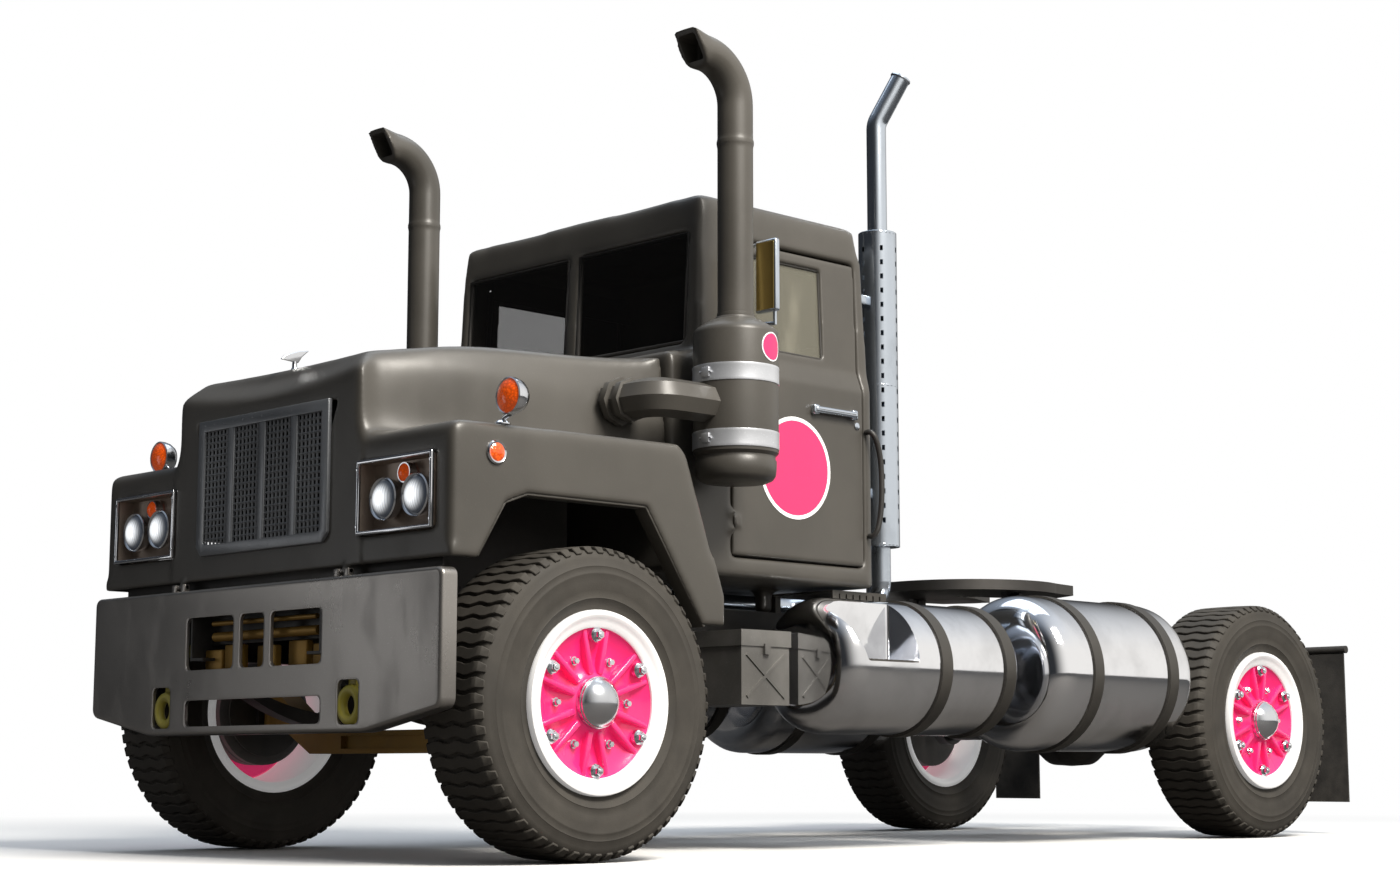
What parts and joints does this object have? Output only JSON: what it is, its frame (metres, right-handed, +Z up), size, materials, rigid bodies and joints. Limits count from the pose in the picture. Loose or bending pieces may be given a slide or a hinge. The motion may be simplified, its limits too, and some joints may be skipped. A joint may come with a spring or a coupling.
{
  "type": "single-axle semi truck tractor",
  "caption": "Conventional single-axle highway tractor with tilting hood, opening doors, steered front wheels and a rocking coupling plate.",
  "frame": {"origin": "on the ground, at the middle of the whole part's base", "axes": "+X to the vehicle's left, -Y to the front, +Z up"},
  "size_m": [2.276, 5.5888, 3.2092],
  "materials": {
    "frame_paint": "satin",
    "bumper_metal": "satin",
    "tow_yellow": "satin",
    "axle_gold": "satin",
    "cast_metal": "matte",
    "radiator_metal": "matte",
    "polished_metal": "polished",
    "strap_metal": "satin",
    "box_metal": "satin",
    "chrome_pipe": "polished",
    "body_paint": "satin",
    "tinted_glass": "gloss",
    "black_plastic": "matte",
    "seat_leather": "satin",
    "black_rubber": "matte",
    "red_lens": "gloss",
    "grille_metal": "satin",
    "lamp_chrome": "polished",
    "amber_lens": "gloss",
    "mirror_metal": "satin",
    "coupling_steel": "greasy",
    "tyre_rubber": "matte",
    "wheel_pink": "gloss"
  },
  "bodies": {
    "chassis": {"frame_rails": "frame_paint", "bumper": "bumper_metal", "tow_eyes": "tow_yellow", "front_axle": "axle_gold", "rear_axle": "frame_paint", "leaf_springs": "frame_paint", "engine_block": "cast_metal", "drive_shaft": "frame_paint", "radiator": "radiator_metal", "fuel_tanks": "polished_metal", "tank_straps": "strap_metal", "battery_box": "box_metal", "air_reservoir": "frame_paint", "tread_plates": "strap_metal", "exhaust_pipe": "chrome_pipe", "exhaust_guard": "chrome_pipe", "cab_floor": "body_paint", "cab_roof": "body_paint", "cab_back": "body_paint", "cab_front_panel": "body_paint", "cab_sides": "body_paint", "cab_glass": "tinted_glass", "dashboard": "black_plastic", "steering_wheel": "black_plastic", "seats": "seat_leather", "air_cleaners": "body_paint", "intake_stacks": "body_paint", "grab_handles": "chrome_pipe", "fifth_wheel_base": "frame_paint", "mudflaps": "black_rubber", "tail_lamps": "red_lens"},
    "hood": {"hood_shell": "body_paint", "grille": "grille_metal", "headlamps": "lamp_chrome", "fender_lamps": "amber_lens", "intake_ducts": "black_rubber"},
    "left_door": {"door_left": "body_paint", "door_glass_left": "tinted_glass", "mirror_left": "mirror_metal"},
    "right_door": {"door_right": "body_paint", "door_glass_right": "tinted_glass", "mirror_right": "mirror_metal"},
    "left_knuckle": {"knuckle_left": "frame_paint"},
    "right_knuckle": {"knuckle_right": "frame_paint"},
    "steering_tie": {"tie_rod": "frame_paint"},
    "front_left_wheel": {"tyre_front_left": "tyre_rubber", "rim_front_left": "wheel_pink"},
    "front_right_wheel": {"tyre_front_right": "tyre_rubber", "rim_front_right": "wheel_pink"},
    "rear_left_wheel": {"tyre_rear_left": "tyre_rubber", "rim_rear_left": "wheel_pink"},
    "rear_right_wheel": {"tyre_rear_right": "tyre_rubber", "rim_rear_right": "wheel_pink"},
    "coupling_plate": {"fifth_wheel_plate": "coupling_steel"}
  },
  "joints": [
    {"name": "hood_tilt", "type": "hinge", "parent": "chassis", "child": "hood", "pos_m": [0, -2.764, 0.961], "axis": [1, 0, 0], "range_deg": [0, 65]},
    {"name": "left_door_swing", "type": "hinge", "parent": "chassis", "child": "left_door", "pos_m": [0.774, -1.179, 1.5], "axis": [0, 0, -1], "range_deg": [0, 50]},
    {"name": "right_door_swing", "type": "hinge", "parent": "chassis", "child": "right_door", "pos_m": [-0.774, -1.179, 1.5], "axis": [0, 0, 1], "range_deg": [0, 50]},
    {"name": "left_steer", "type": "hinge", "parent": "chassis", "child": "left_knuckle", "pos_m": [0.787, -2.137, 0.525], "axis": [0, 0, 1], "range_deg": [-30, 30]},
    {"name": "right_steer", "type": "hinge", "parent": "chassis", "child": "right_knuckle", "pos_m": [-0.787, -2.137, 0.525], "axis": [0, 0, 1], "range_deg": [-30, 30]},
    {"name": "tie_rod_swing", "type": "hinge", "parent": "left_knuckle", "child": "steering_tie", "pos_m": [0.787, -1.937, 0.42], "axis": [0, 0, 1], "range_deg": [-30, 30]},
    {"name": "front_left_roll", "type": "hinge", "parent": "left_knuckle", "child": "front_left_wheel", "pos_m": [0.934, -2.137, 0.525], "axis": [1, 0, 0], "continuous": true},
    {"name": "front_right_roll", "type": "hinge", "parent": "right_knuckle", "child": "front_right_wheel", "pos_m": [-0.934, -2.137, 0.525], "axis": [1, 0, 0], "continuous": true},
    {"name": "rear_left_roll", "type": "hinge", "parent": "chassis", "child": "rear_left_wheel", "pos_m": [0.934, 1.943, 0.525], "axis": [1, 0, 0], "continuous": true},
    {"name": "rear_right_roll", "type": "hinge", "parent": "chassis", "child": "rear_right_wheel", "pos_m": [-0.934, 1.943, 0.525], "axis": [1, 0, 0], "continuous": true},
    {"name": "coupling_rock", "type": "hinge", "parent": "chassis", "child": "coupling_plate", "pos_m": [0, 1.123, 1.085], "axis": [1, 0, 0], "range_deg": [-12, 12]}
  ],
  "couplings": [
    {"joint": "right_steer", "follows": "left_steer", "ratio": 1},
    {"joint": "tie_rod_swing", "follows": "left_steer", "ratio": -1}
  ]
}
